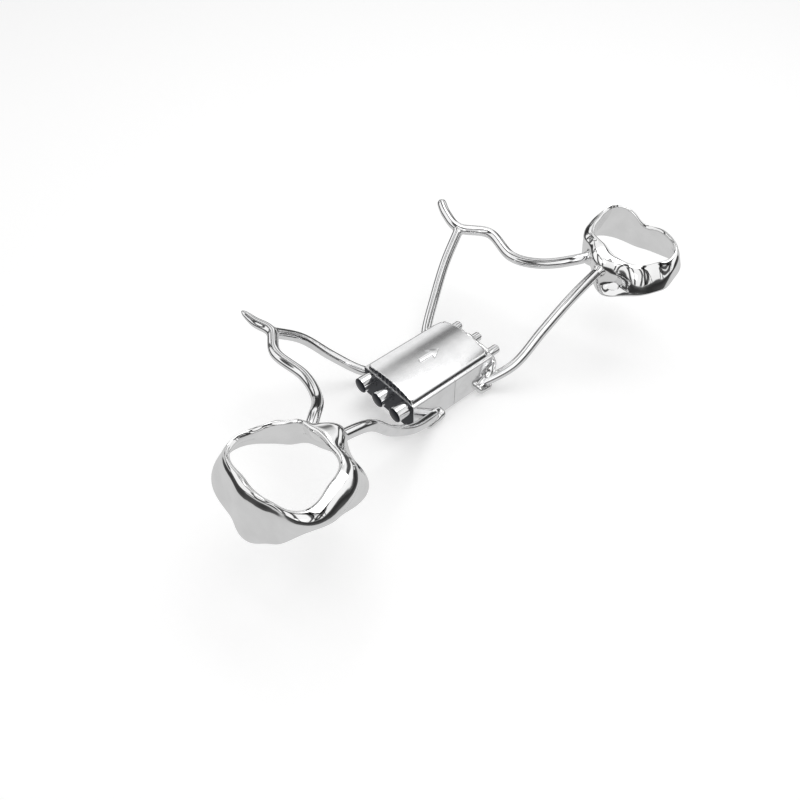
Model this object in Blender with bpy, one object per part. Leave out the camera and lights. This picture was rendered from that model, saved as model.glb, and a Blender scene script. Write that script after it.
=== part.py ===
# Palatal expander: two molar bands, six bent wires and the jack screw that spreads them.
# Metres. +X runs across the palate from the near band to the far band, +Y to the front teeth,
# +Z to the bite. The origin lies midway between the two bands, level with their rims.
import math
import bpy
import bmesh
from mathutils import Vector

MM = 0.001

# Arch and wires
BAND_SPACING = 50.9 * MM          # between the centres of the two molar bands
BAND_STAGGER = 0.7 * MM           # the far molar sits this much farther forward
WIRE_DIAMETER = 1.25 * MM
SOLDER_GAP = 0.05 * MM            # film of solder between pieces that are joined
COPE_REACH = 2.0 * MM             # how far the shape that copes the wires runs past the band

# Molar band
OPENING_WIDTH = 7.8 * MM          # cheek side to tongue side
OPENING_LENGTH = 9.2 * MM         # front to back
RIM_WIDTH = 0.85 * MM
RIM_DROP = 0.5 * MM               # from the rim's crest to its outer lip
NECK_DEPTH = 0.14 * MM            # groove under the lip
WALL = 0.5 * MM
BAND_HEIGHT = 4.4 * MM
BAND_FLARE = 1.7 * MM             # from the opening's edge out to the gum edge

# Jack screw
SCREW_FORWARD = 8.5 * MM          # screw axis in front of the band centres
SCREW_DEPTH = 11.7 * MM           # screw axis below the band rims
BODY_LENGTH = 13.2 * MM           # both halves together, closed
BODY_HEIGHT = 4.5 * MM
BODY_ROUNDING = 0.3 * MM
SEAM_GAP = 0.08 * MM              # between the two halves when closed
RUNNING_GAP = 0.05 * MM           # around what slides or turns
PRESS_GAP = 0.03 * MM             # film around what is pressed or brazed in

# Guides: two pins fixed in the far half slide in tubes fixed in the near half
GUIDE_DIAMETER = 1.2 * MM
TUBE_WALL = 0.32 * MM
TUBE_COVER = 0.15 * MM            # metal of the near half above its tubes
TUBE_SIDE_COVER = 0.4 * MM        # and outside them
TUBE_END_WALL = 0.4 * MM
TUBE_PROJECTION = 1.5 * MM        # past the near half
PIN_END_ROOM = 0.25 * MM          # between a pin and the blind end of its tube
FRONT_PIN_PROJECTION = 1.8 * MM   # past the far half
REAR_PIN_PROJECTION = 2.2 * MM

# Spindle
THREAD_DIAMETER = 1.2 * MM
HEAD_DIAMETER = 3.0 * MM
HEAD_LENGTH = 2.2 * MM
HEAD_ROOM = 0.25 * MM             # around the head in its pocket
POCKET_WALL = 0.8 * MM            # between the pocket and a guide pin
KEY_HOLE_DIAMETER = 0.85 * MM
KEY_ROOM = 0.28 * MM              # beside the key in its window
BRAKE_STEP = 0.3 * MM             # the brake washer is this much smaller than the head
BRAKE_THICKNESS = 0.3 * MM
COLLAR_WALL = 0.32 * MM
COLLAR_LENGTH = 0.6 * MM
TIP_LENGTH = 1.35 * MM            # spindle past its collar
SLOT_WIDTH = 0.3 * MM
SLOT_DEPTH = 0.45 * MM

# Cover plate
PLATE_END_SETBACK = 0.35 * MM
PLATE_SIDE_SETBACK = 0.35 * MM
PLATE_THICKNESS = 0.45 * MM
PLATE_HEAD_ROOM = 0.3 * MM        # between the crowned plate and the spindle's head
PLATE_CORNER = 0.7 * MM
PLATE_EDGE = 0.1 * MM

# Wire anchors
BAR_ANCHOR_DEPTH = 2.1 * MM       # lingual bar on the band, below its rim
REAR_ARM_ANCHOR_DEPTH = 1.5 * MM
ARM_ABOVE_BASE = 0.75 * MM        # arm ends on the walls of the screw
NEAR_REAR_ARM_X = 3.1 * MM        # arm ends along the walls, from the middle of the screw
FAR_REAR_ARM_X = 4.7 * MM
FRONT_ARM_X = 3.3 * MM
BAR_ANCHOR_ANGLE = 146.0          # round the band, as in its shape below
NEAR_REAR_ARM_ANGLE = 177.0
FAR_REAR_ARM_ANGLE = 184.0

# Sides of the round pieces
WIRE_SIDES = 12
ROUND_SIDES = 24
BAND_STEPS = 60

# Shape of each band round its tooth, as changes: (angle, half width of the change, amount in mm).
# Angle 0 faces the cheek, 90 the front, 180 the tongue and 270 the back.
NEAR_BAND = {
    "opening": ((57, 42, 1.25), (291, 38, 0.9), (223, 32, 0.5), (139, 18, 0.4)),
    "rim_width": ((256, 66, 1.1), (180, 30, 1.0), (8, 40, 0.3), (88, 14, 0.3), (113, 12, 0.35),
                  (322, 22, -0.2)),
    "rim_level": ((300, 60, -0.1),),
    "pad": ((172, 34, 0.6), (228, 40, 0.2)),
    "swell": ((255, 50, 0.1),),
    "flare": ((62, 44, 1.25), (6, 40, 0.45), (205, 60, 0.95), (256, 40, -0.55), (290, 34, -0.75),
              (115, 40, -0.9)),
    "height": ((16, 70, 1.9), (290, 34, -1.9), (262, 26, -0.4), (100, 50, -1.2), (350, 30, 0.5)),
}
FAR_BAND = {
    "opening": ((57, 42, 1.15), (282, 34, 0.65), (226, 32, 0.8), (135, 18, 0.2), (188, 26, 0.2)),
    "rim_width": ((240, 50, 0.6), (176, 34, 1.0), (20, 60, -0.35), (86, 26, 0.65), (112, 14, 0.75)),
    "rim_level": ((56, 40, 0.65), (8, 34, -0.8), (208, 32, -1.0), (258, 34, -1.2), (336, 34, -0.25)),
    "pad": ((178, 34, 0.4), (240, 42, 0.7)),
    "swell": ((242, 44, 0.45),),
    "flare": ((204, 34, 0.65), (148, 30, -1.0), (275, 40, -0.4), (108, 46, -0.8)),
    "height": ((28, 60, 0.6), (290, 60, -1.5), (100, 50, -0.6), (192, 24, 0.55), (235, 40, -0.9),
               (156, 22, -0.7), (262, 26, 0.3)),
}

# Lingual bars, bent by hand along the teeth: millimetres from the middle of their own band,
# towards the tongue, forward and down. They start at the free end; the front arm leaves at
# the third point, and the last stretch runs into the band's wall.
NEAR_BAR_BENDS = (
    (9.45, 23.6, 3.0), (9.85, 21.6, 3.6), (10.45, 19.2, 3.9), (8.85, 15.9, 3.9),
    (9.35, 11.3, 4.2), (8.15, 7.2, 3.6), (5.75, 4.2, 2.1),
)
FAR_BAR_BENDS = (
    (9.25, 23.9, 2.4), (10.25, 21.6, 3.1), (10.55, 18.8, 3.7), (8.55, 15.2, 3.6),
    (9.35, 10.5, 4.3), (8.25, 6.4, 3.7), (5.75, 2.9, 2.3),
)
# An arm bows away from the straight line between its ends: (share of the way, offset in mm).
NEAR_FRONT_ARM_BOW = ((0.29, (-0.3, 1.5, -0.1)), (0.56, (0.0, 1.4, -0.8)), (0.81, (0.3, 0.9, -0.9)))
FAR_FRONT_ARM_BOW = ((0.3, (0.1, 0.9, -0.3)), (0.57, (0.0, 1.1, -1.1)), (0.81, (0.0, 0.9, -0.9)))
NEAR_REAR_ARM_BOW = ((0.26, (-0.5, -0.1, 0.7)), (0.49, (0.1, -0.5, -0.3)), (0.74, (0.3, -0.7, -0.5)))
FAR_REAR_ARM_BOW = ((0.27, (-0.4, -0.4, 0.4)), (0.52, (-0.2, -0.7, 0.0)), (0.78, (0.1, -1.1, -0.4)))

# Worked out from the sizes above
WIRE_RADIUS = WIRE_DIAMETER / 2
GUIDE_TUBE_DIAMETER = GUIDE_DIAMETER + 2 * (RUNNING_GAP + TUBE_WALL)
NUT_TUBE_DIAMETER = THREAD_DIAMETER + 2 * (RUNNING_GAP + TUBE_WALL)
GUIDE_SPACING = HEAD_DIAMETER / 2 + HEAD_ROOM + POCKET_WALL + GUIDE_DIAMETER / 2
BODY_WIDTH = 2 * (GUIDE_SPACING + GUIDE_TUBE_DIAMETER / 2 + PRESS_GAP + TUBE_SIDE_COVER)
BODY_ABOVE_AXIS = max(GUIDE_TUBE_DIAMETER, NUT_TUBE_DIAMETER) / 2 + PRESS_GAP + TUBE_COVER
AXIS_Z = -SCREW_DEPTH
BODY_TOP = AXIS_Z + BODY_ABOVE_AXIS
BODY_BASE = BODY_TOP - BODY_HEIGHT
FRONT_WALL = SCREW_FORWARD + BODY_WIDTH / 2
REAR_WALL = SCREW_FORWARD - BODY_WIDTH / 2
HALF_LENGTH = BODY_LENGTH / 2
SEAM = SEAM_GAP / 2
TUBE_END = -HALF_LENGTH - TUBE_PROJECTION
BLIND_END = TUBE_END + TUBE_END_WALL
PIN_NEAR_END = BLIND_END + PIN_END_ROOM
HEAD_START = SEAM + HEAD_ROOM
HEAD_END = HEAD_START + HEAD_LENGTH
HEAD_MIDDLE = (HEAD_START + HEAD_END) / 2
BRAKE_START = HEAD_END + RUNNING_GAP
BRAKE_END = BRAKE_START + BRAKE_THICKNESS
POCKET_END = BRAKE_END + RUNNING_GAP
COLLAR_START = HALF_LENGTH + RUNNING_GAP
SPINDLE_TIP = COLLAR_START + COLLAR_LENGTH + TIP_LENGTH
PLATE_LENGTH = BODY_LENGTH - 2 * PLATE_END_SETBACK
PLATE_WIDTH = BODY_WIDTH - 2 * PLATE_SIDE_SETBACK
PLATE_UNDERSIDE = BODY_TOP + SOLDER_GAP
PLATE_CROWN = HEAD_DIAMETER / 2 + PLATE_HEAD_ROOM - (PLATE_UNDERSIDE - AXIS_Z)
BEYOND = 1.0 * MM                 # how far a cutter runs past what it cuts


def clear_scene():
    for old in list(bpy.data.objects):
        bpy.data.objects.remove(old, do_unlink=True)


def steel(name, colour, roughness):
    material = bpy.data.materials.new(name)
    material.use_nodes = True
    shader = material.node_tree.nodes["Principled BSDF"]
    shader.inputs["Base Color"].default_value = (*colour, 1.0)
    shader.inputs["Metallic"].default_value = 1.0
    shader.inputs["Roughness"].default_value = roughness
    return material


def new_object(name, mesh, material=None):
    piece = bpy.data.objects.new(name, mesh)
    bpy.context.scene.collection.objects.link(piece)
    if material:
        mesh.materials.append(material)
    return piece


def finish_mesh(bm, name, smooth_angle=35.0):
    bmesh.ops.recalc_face_normals(bm, faces=bm.faces)
    mesh = bpy.data.meshes.new(name)
    bm.to_mesh(mesh)
    bm.free()
    mesh.shade_smooth()
    mesh.set_sharp_from_angle(angle=math.radians(smooth_angle))
    return mesh


def cut(piece, cutter, operation="DIFFERENCE"):
    modifier = piece.modifiers.new("cut_" + cutter.name, "BOOLEAN")
    modifier.operation = operation
    modifier.solver = "EXACT"
    modifier.object = cutter
    cutter.hide_render = True
    cutter.display_type = "WIRE"


# Rings of points joined into a closed skin; the first and last ring are capped.
def skin_rings(bm, rings, closed=False):
    rows = [[bm.verts.new(point) for point in ring] for ring in rings]
    pairs = list(zip(rows, rows[1:]))
    if closed:
        pairs.append((rows[-1], rows[0]))
    for low, high in pairs:
        for k in range(len(low)):
            n = (k + 1) % len(low)
            bm.faces.new((low[k], low[n], high[n], high[k]))
    if not closed:
        bm.faces.new(rows[0])
        bm.faces.new(rows[-1])


# A turned piece on an axis along X: profile is a list of (x, radius), ends closed.
def turned(name, profile, y, z, material=None, sides=ROUND_SIDES):
    bm = bmesh.new()
    rings = []
    for x, radius in profile:
        turn = [math.tau * k / sides for k in range(sides)]
        rings.append([Vector((x, y + radius * math.cos(a), z + radius * math.sin(a))) for a in turn])
    skin_rings(bm, rings)
    return new_object(name, finish_mesh(bm, name), material)


# A ring turned round an axis along X, open through the middle.
def turned_ring(name, start, end, inner, outer, y, z, material):
    bm = bmesh.new()
    chamfer = (outer - inner) * 0.15
    section = ((start, inner), (end, inner), (end, outer - chamfer), (end - chamfer, outer),
               (start + chamfer, outer), (start, outer - chamfer))
    rings = []
    for k in range(ROUND_SIDES):
        angle = math.tau * k / ROUND_SIDES
        rings.append([Vector((x, y + r * math.cos(angle), z + r * math.sin(angle))) for x, r in section])
    skin_rings(bm, rings, closed=True)
    return new_object(name, finish_mesh(bm, name), material)


def box(name, low, high):
    bm = bmesh.new()
    bmesh.ops.create_cube(bm, size=1.0)
    for vert in bm.verts:
        vert.co = Vector([low[i] if vert.co[i] < 0 else high[i] for i in range(3)])
    return new_object(name, finish_mesh(bm, name))


# Smooth change of an amount round a band, 1 at its middle and 0 at its edges.
def bump(angle, middle, half_width):
    away = abs((angle - middle + 180.0) % 360.0 - 180.0)
    if away >= half_width:
        return 0.0
    return 0.5 + 0.5 * math.cos(math.pi * away / half_width)


def change(side, what, angle):
    shape = FAR_BAND if side > 0 else NEAR_BAND
    return sum(amount * MM * bump(angle, middle, half) for middle, half, amount in shape[what])


def opening_radius(side, angle):
    a = math.radians(angle)
    across = OPENING_WIDTH / 2
    along = OPENING_LENGTH / 2
    oval = 1.0 / math.hypot(math.cos(a) / across, math.sin(a) / along)
    return oval + change(side, "opening", angle)


# Section of a band at one angle: (radius, height) from the gum edge up the outside,
# over the rim and down the inside.
def band_section(side, angle):
    pad = change(side, "pad", angle)
    swell = change(side, "swell", angle)
    level = change(side, "rim_level", angle)
    edge = opening_radius(side, angle)
    lip = edge + RIM_WIDTH + change(side, "rim_width", angle)
    gum = edge + max(BAND_FLARE + change(side, "flare", angle), WALL * 1.4)
    height = BAND_HEIGHT + change(side, "height", angle)
    inside = gum - WALL
    outer = [
        (gum - WALL * 0.25, -height),
        (gum, -height + WALL * 0.6),
        (lip + (gum - lip) * 0.75 + pad * 0.7 + swell * 0.5 + WALL * 0.2, -height * 0.66),
        (lip + (gum - lip) * 0.3 + pad + swell - NECK_DEPTH, level - RIM_DROP * 2.4),
        (lip + pad * 0.9 + swell * 0.75, level + swell * 0.25 - RIM_DROP),
        (lip + pad * 0.5 + swell * 0.3 - RIM_WIDTH * 0.25, level + swell * 0.6 - RIM_DROP * 0.15),
    ]
    inner = [
        (edge + RIM_WIDTH * 0.42, level + swell * 0.45 + RIM_DROP * 0.2),
        (edge + RIM_WIDTH * 0.08, level - RIM_DROP * 0.15),
        (edge, level - RIM_DROP),
        (edge + (inside - edge) * 0.4, -height * 0.45),
        (inside, -height * 0.82),
        (inside + WALL * 0.2, -height),
    ]
    return outer, inner


def band_point(side, angle, radius, z):
    a = math.radians(angle)
    outward = BAND_SPACING / 2 + radius * math.cos(a)
    forward = side * BAND_STAGGER / 2 + radius * math.sin(a)
    return Vector((side * outward, forward, z))


def band_wall_radius(side, angle, z):
    outer = band_section(side, angle)[0]
    for (low_r, low_z), (high_r, high_z) in zip(outer, outer[1:]):
        if low_z <= z <= high_z:
            return low_r + (high_r - low_r) * (z - low_z) / (high_z - low_z)
    return outer[-1][0]


def molar_band(name, side, material):
    bm = bmesh.new()
    rings = []
    for k in range(BAND_STEPS):
        angle = 360.0 * k / BAND_STEPS
        outer, inner = band_section(side, angle)
        rings.append([band_point(side, angle, radius, z) for radius, z in outer + inner])
    skin_rings(bm, rings, closed=True)
    return new_object(name, finish_mesh(bm, name, 60.0), material)


# The outside of a band grown by the solder film, which shapes the ends of its wires.
def band_cope(side):
    bm = bmesh.new()
    rings = []
    count = len(band_section(side, 0.0)[0]) + 2
    for level in range(count):
        ring = []
        for k in range(BAND_STEPS):
            angle = 360.0 * k / BAND_STEPS
            outer = band_section(side, angle)[0]
            outer = [(outer[0][0], outer[0][1] - COPE_REACH)] + outer
            outer.append((outer[-1][0], outer[-1][1] + COPE_REACH))
            radius, z = outer[level]
            ring.append(band_point(side, angle, radius + SOLDER_GAP, z))
        rings.append(ring)
    skin_rings(bm, rings)
    name = ("far" if side > 0 else "near") + "_band_cope"
    cope = new_object(name, finish_mesh(bm, name))
    return cope


# Points of a smooth curve through a route, a few to each stretch.
def smooth_route(route, spacing):
    ends = [route[0] * 2 - route[1]] + list(route) + [route[-1] * 2 - route[-2]]
    points = []
    for i in range(1, len(ends) - 2):
        a, b, c, d = ends[i - 1:i + 3]
        steps = max(2, math.ceil((c - b).length / spacing))
        for k in range(steps):
            t = k / steps
            points.append(0.5 * (2 * b + (c - a) * t + (2 * a - 5 * b + 4 * c - d) * t ** 2
                                 + (3 * b - a - 3 * c + d) * t ** 3))
    points.append(route[-1].copy())
    return points


# A round wire along a route, made with a bevelled curve; a free end is rounded like a ball.
def wire(name, route, material=None, rounded_start=False, grown=0.0):
    radius = WIRE_RADIUS + grown
    points = smooth_route(route, WIRE_DIAMETER * 1.1)
    radii = [1.0] * len(points)
    if rounded_start:
        tip = points[0]
        direction = (points[1] - tip).normalized()
        dome = [(1.0 - math.cos(a), math.sin(a)) for a in (0.25, 0.6, 1.0, 1.57)]
        rest = [p for p in points if (p - tip).length > radius * 1.2]
        points = [tip + direction * (radius * along) for along, _ in dome] + rest
        radii = [share for _, share in dome] + [1.0] * len(rest)
    data = bpy.data.curves.new(name, "CURVE")
    data.dimensions = "3D"
    data.bevel_depth = radius
    data.bevel_resolution = (WIRE_SIDES - 4) // 2
    data.use_fill_caps = True
    spline = data.splines.new("POLY")
    spline.points.add(len(points) - 1)
    for node, point, share in zip(spline.points, points, radii):
        node.co = (*point, 1.0)
        node.radius = share
    guide = bpy.data.objects.new(name + "_guide", data)
    bpy.context.scene.collection.objects.link(guide)
    bpy.context.view_layer.update()
    drawn = bpy.data.meshes.new_from_object(guide.evaluated_get(bpy.context.evaluated_depsgraph_get()))
    bpy.data.objects.remove(guide, do_unlink=True)
    bm = bmesh.new()
    bm.from_mesh(drawn)
    bmesh.ops.remove_doubles(bm, verts=bm.verts, dist=0.001 * MM)
    return new_object(name, finish_mesh(bm, name, 50.0), material)


def trim_at_wall(piece, y, keep):
    bm = bmesh.new()
    bm.from_mesh(piece.data)
    geometry = bm.verts[:] + bm.edges[:] + bm.faces[:]
    cut_edges = bmesh.ops.bisect_plane(bm, geom=geometry, plane_co=(0, y, 0), plane_no=(0, -keep, 0),
                                       clear_outer=True)["geom_cut"]
    loop = [item for item in cut_edges if isinstance(item, bmesh.types.BMEdge)]
    bmesh.ops.contextual_create(bm, geom=loop)
    bmesh.ops.recalc_face_normals(bm, faces=bm.faces)
    bm.to_mesh(piece.data)
    bm.free()


def bar_route(side):
    centre = band_point(side, 0.0, 0.0, 0.0)
    route = []
    for inward, forward, down in (FAR_BAR_BENDS if side > 0 else NEAR_BAR_BENDS):
        route.append(centre + Vector((-side * inward, forward, -down)) * MM)
    inside = band_wall_radius(side, BAR_ANCHOR_ANGLE, -BAR_ANCHOR_DEPTH) - WIRE_DIAMETER
    route.append(band_point(side, BAR_ANCHOR_ANGLE, inside, -BAR_ANCHOR_DEPTH))
    return route


# An arm's route from its start to a wall of the screw, and on through it for the trim.
def arm_route(side, start, end, bow):
    route = [start]
    for share, offset in bow:
        route.append(start.lerp(end, share) + Vector((side * offset[0], offset[1], offset[2])) * MM)
    route.append(end)
    route.append(end + (end - route[-2]).normalized() * WIRE_DIAMETER * 2)
    return route


def rear_arm_route(side):
    angle = FAR_REAR_ARM_ANGLE if side > 0 else NEAR_REAR_ARM_ANGLE
    inside = band_wall_radius(side, angle, -REAR_ARM_ANCHOR_DEPTH) - WIRE_DIAMETER
    start = band_point(side, angle, inside, -REAR_ARM_ANCHOR_DEPTH)
    along = FAR_REAR_ARM_X if side > 0 else NEAR_REAR_ARM_X
    end = Vector((side * along, REAR_WALL, BODY_BASE + ARM_ABOVE_BASE))
    return arm_route(side, start, end, FAR_REAR_ARM_BOW if side > 0 else NEAR_REAR_ARM_BOW)


def front_arm_route(side):
    start = bar_route(side)[2]
    end = Vector((side * FRONT_ARM_X, FRONT_WALL, BODY_BASE + ARM_ABOVE_BASE))
    return arm_route(side, start, end, FAR_FRONT_ARM_BOW if side > 0 else NEAR_FRONT_ARM_BOW)


def side_pieces(side, band_material, material):
    word = "far" if side > 0 else "near"
    band = molar_band(word + "_molar_band", side, band_material)
    cope = band_cope(side)
    bar = wire(word + "_lingual_bar", bar_route(side), material, rounded_start=True)
    cut(bar, cope)
    bar_cope = wire(word + "_bar_cope", bar_route(side), rounded_start=True, grown=SOLDER_GAP)
    front = wire(word + "_front_arm", front_arm_route(side), material)
    trim_at_wall(front, FRONT_WALL + SOLDER_GAP, 1)
    cut(front, bar_cope)
    rear = wire(word + "_rear_arm", rear_arm_route(side), material)
    trim_at_wall(rear, REAR_WALL - SOLDER_GAP, -1)
    cut(rear, cope)
    return [band, bar, front, rear]


def bore(piece, name, start, end, diameter, y):
    cutter = turned(name, ((start, diameter / 2), (end, diameter / 2)), y, AXIS_Z)
    cut(piece, cutter)


# A block rounded everywhere but at the seam, where the two halves meet.
def half_body(name, side, material):
    bm = bmesh.new()
    bmesh.ops.create_cube(bm, size=1.0)
    for vert in bm.verts:
        vert.co.x = side * (SEAM if vert.co.x * side < 0 else HALF_LENGTH)
        vert.co.y = FRONT_WALL if vert.co.y > 0 else REAR_WALL
        vert.co.z = BODY_TOP if vert.co.z > 0 else BODY_BASE
    rounded = [edge for edge in bm.edges if max(abs(vert.co.x) for vert in edge.verts) > SEAM * 2]
    bmesh.ops.bevel(bm, geom=rounded, offset=BODY_ROUNDING, segments=2, affect="EDGES", profile=0.5)
    return new_object(name, finish_mesh(bm, name, 25.0), material)


def near_half(material):
    body = half_body("near_half_body", -1, material)
    pieces = [body]
    tubes = (
        ("guide_tube_rear", -GUIDE_SPACING, GUIDE_DIAMETER, GUIDE_TUBE_DIAMETER),
        ("spindle_nut_tube", 0.0, THREAD_DIAMETER, NUT_TUBE_DIAMETER),
        ("guide_tube_front", GUIDE_SPACING, GUIDE_DIAMETER, GUIDE_TUBE_DIAMETER),
    )
    for name, offset, inner, outer in tubes:
        y = SCREW_FORWARD + offset
        bore(body, name + "_seat", -HALF_LENGTH - BEYOND, BEYOND, outer + 2 * PRESS_GAP, y)
        edge = TUBE_WALL * 0.4
        outline = ((TUBE_END, outer / 2 - edge), (TUBE_END + edge, outer / 2), (-SEAM, outer / 2))
        tube = turned(name, outline, y, AXIS_Z, material)
        bore(tube, name + "_bore", BLIND_END, BEYOND, inner + 2 * RUNNING_GAP, y)
        pieces.append(tube)
    return pieces


# A pin with an eased near end and a domed far end.
def guide_pin(name, y, projection, material):
    radius = GUIDE_DIAMETER / 2
    dome_depth = radius * 0.6
    dome_start = HALF_LENGTH + projection - dome_depth
    outline = [(PIN_NEAR_END, radius * 0.7), (PIN_NEAR_END + radius * 0.3, radius)]
    for turn in (0.0, 0.5, 1.0, 1.4):
        outline.append((dome_start + dome_depth * math.sin(turn), radius * math.cos(turn)))
    return turned(name, outline, y, AXIS_Z, material)


def far_half(material):
    body = half_body("far_half_body", 1, material)
    bore(body, "spindle_seat", 0.0, HALF_LENGTH + BEYOND, THREAD_DIAMETER + 2 * RUNNING_GAP, SCREW_FORWARD)
    room = HEAD_DIAMETER / 2 + HEAD_ROOM
    pocket = box("head_pocket", (-BEYOND, SCREW_FORWARD - room, BODY_BASE - BEYOND),
                 (POCKET_END, SCREW_FORWARD + room, BODY_TOP + BEYOND))
    cut(body, pocket)
    half_window = KEY_HOLE_DIAMETER / 2 + KEY_ROOM
    window_top = AXIS_Z - GUIDE_DIAMETER / 2 - HEAD_ROOM
    window = box("key_window", (HEAD_MIDDLE - half_window, SCREW_FORWARD, BODY_BASE - BEYOND),
                 (HEAD_MIDDLE + half_window, FRONT_WALL + BEYOND, window_top))
    cut(body, window)
    pieces = [body]
    pins = (
        ("guide_pin_rear", -GUIDE_SPACING, REAR_PIN_PROJECTION),
        ("guide_pin_front", GUIDE_SPACING, FRONT_PIN_PROJECTION),
    )
    for name, offset, projection in pins:
        y = SCREW_FORWARD + offset
        bore(body, name + "_seat", 0.0, HALF_LENGTH + BEYOND, GUIDE_DIAMETER + 2 * PRESS_GAP, y)
        pieces.append(guide_pin(name, y, projection, material))
    brake_radius = HEAD_DIAMETER / 2 - BRAKE_STEP
    pieces.append(turned_ring("brake_washer", BRAKE_START, BRAKE_END, THREAD_DIAMETER / 2 + RUNNING_GAP,
                              brake_radius, SCREW_FORWARD, AXIS_Z, material))
    return pieces


# The spindle's head has two holes drilled right across it for the key.
def key_drill(name, direction):
    axis = Vector((1, 0, 0))
    sideways = direction.cross(axis)
    rings = []
    for end in (-HEAD_DIAMETER, HEAD_DIAMETER):
        centre = Vector((HEAD_MIDDLE, SCREW_FORWARD, AXIS_Z)) + direction * end
        turns = [math.tau * k / 16 for k in range(16)]
        spokes = [axis * math.cos(a) + sideways * math.sin(a) for a in turns]
        rings.append([centre + spoke * (KEY_HOLE_DIAMETER / 2) for spoke in spokes])
    bm = bmesh.new()
    skin_rings(bm, rings)
    return new_object(name, finish_mesh(bm, name))


def spindle(material):
    radius = THREAD_DIAMETER / 2
    edge = HEAD_DIAMETER * 0.05
    outline = (
        (PIN_NEAR_END, radius * 0.7),
        (PIN_NEAR_END + radius * 0.3, radius),
        (HEAD_START, radius),
        (HEAD_START, HEAD_DIAMETER / 2 - edge),
        (HEAD_START + edge, HEAD_DIAMETER / 2),
        (HEAD_END - edge, HEAD_DIAMETER / 2),
        (HEAD_END, HEAD_DIAMETER / 2 - edge),
        (HEAD_END, radius),
        (SPINDLE_TIP - radius * 0.25, radius),
        (SPINDLE_TIP, radius * 0.75),
    )
    piece = turned("expansion_spindle", outline, SCREW_FORWARD, AXIS_Z, material)
    cut(piece, key_drill("key_hole_across", Vector((0, 1, 0))))
    cut(piece, key_drill("key_hole_up", Vector((0, 0, 1))))
    low = (SPINDLE_TIP - SLOT_DEPTH, SCREW_FORWARD - HEAD_DIAMETER, AXIS_Z - SLOT_WIDTH / 2)
    high = (SPINDLE_TIP + BEYOND, SCREW_FORWARD + HEAD_DIAMETER, AXIS_Z + SLOT_WIDTH / 2)
    slot = box("driver_slot", low, high)
    cut(piece, slot)
    collar = turned_ring("spindle_collar", COLLAR_START, COLLAR_START + COLLAR_LENGTH, radius + PRESS_GAP,
                         radius + PRESS_GAP + COLLAR_WALL, SCREW_FORWARD, AXIS_Z, material)
    return [piece, collar]


# The plate's two long edges rest on the body; its middle is crowned over the spindle's head.
def cover_plate(material):
    half = PLATE_WIDTH / 2
    straight = PLATE_LENGTH / 2 - PLATE_CORNER
    quarter = []
    for turn in (0, 22, 45, 66, 88):
        a = math.radians(turn)
        quarter.append((straight + PLATE_CORNER * math.sin(a), half - PLATE_CORNER * (1 - math.cos(a))))
    stations = [(-x, reach) for x, reach in reversed(quarter)] + quarter
    across = [k / 7 - 1 for k in range(15)]
    rings = []
    for x, reach in stations:
        under = []
        for share in across:
            rise = PLATE_CROWN * (1 - (share * reach / half) ** 2)
            under.append(Vector((x, SCREW_FORWARD + share * reach, PLATE_UNDERSIDE + rise)))
        over = [point + Vector((0, 0, PLATE_THICKNESS)) for point in reversed(under)]
        rings.append(under + over)
    bm = bmesh.new()
    skin_rings(bm, rings)
    bmesh.ops.recalc_face_normals(bm, faces=bm.faces)
    sharp = [edge for edge in bm.edges if edge.calc_face_angle() > math.radians(50)]
    bmesh.ops.bevel(bm, geom=sharp, offset=PLATE_EDGE, segments=2, affect="EDGES", profile=0.5)
    return new_object("cover_plate", finish_mesh(bm, "cover_plate", 30.0), material)


def group(name, location, pieces):
    anchor = bpy.data.objects.new(name, None)
    anchor.location = location
    bpy.context.scene.collection.objects.link(anchor)
    for piece in pieces:
        for vert in piece.data.vertices:
            vert.co -= Vector(location)
        piece.parent = anchor
    return anchor


def build():
    clear_scene()
    band_metal = steel("polished_band_steel", (0.82, 0.83, 0.84), 0.12)
    wire_metal = steel("polished_wire_steel", (0.80, 0.81, 0.83), 0.14)
    screw_metal = steel("machined_screw_steel", (0.76, 0.77, 0.79), 0.2)
    axis = (0.0, SCREW_FORWARD, AXIS_Z)
    far = far_half(screw_metal) + [cover_plate(screw_metal)] + side_pieces(1, band_metal, wire_metal)
    near = near_half(screw_metal) + side_pieces(-1, band_metal, wire_metal)
    group("far_half_frame", axis, far)
    group("near_half_slide", axis, near)
    group("spindle_axis", axis, spindle(screw_metal))


build()
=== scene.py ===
# Palatal expander dressed for its picture: two cast molar bands, six bent wires
# and a jack screw, all in polished steel on a pale floor.
import math
import bpy
import bmesh
from mathutils import Matrix, Vector
from mathutils.bvhtree import BVHTree


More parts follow.
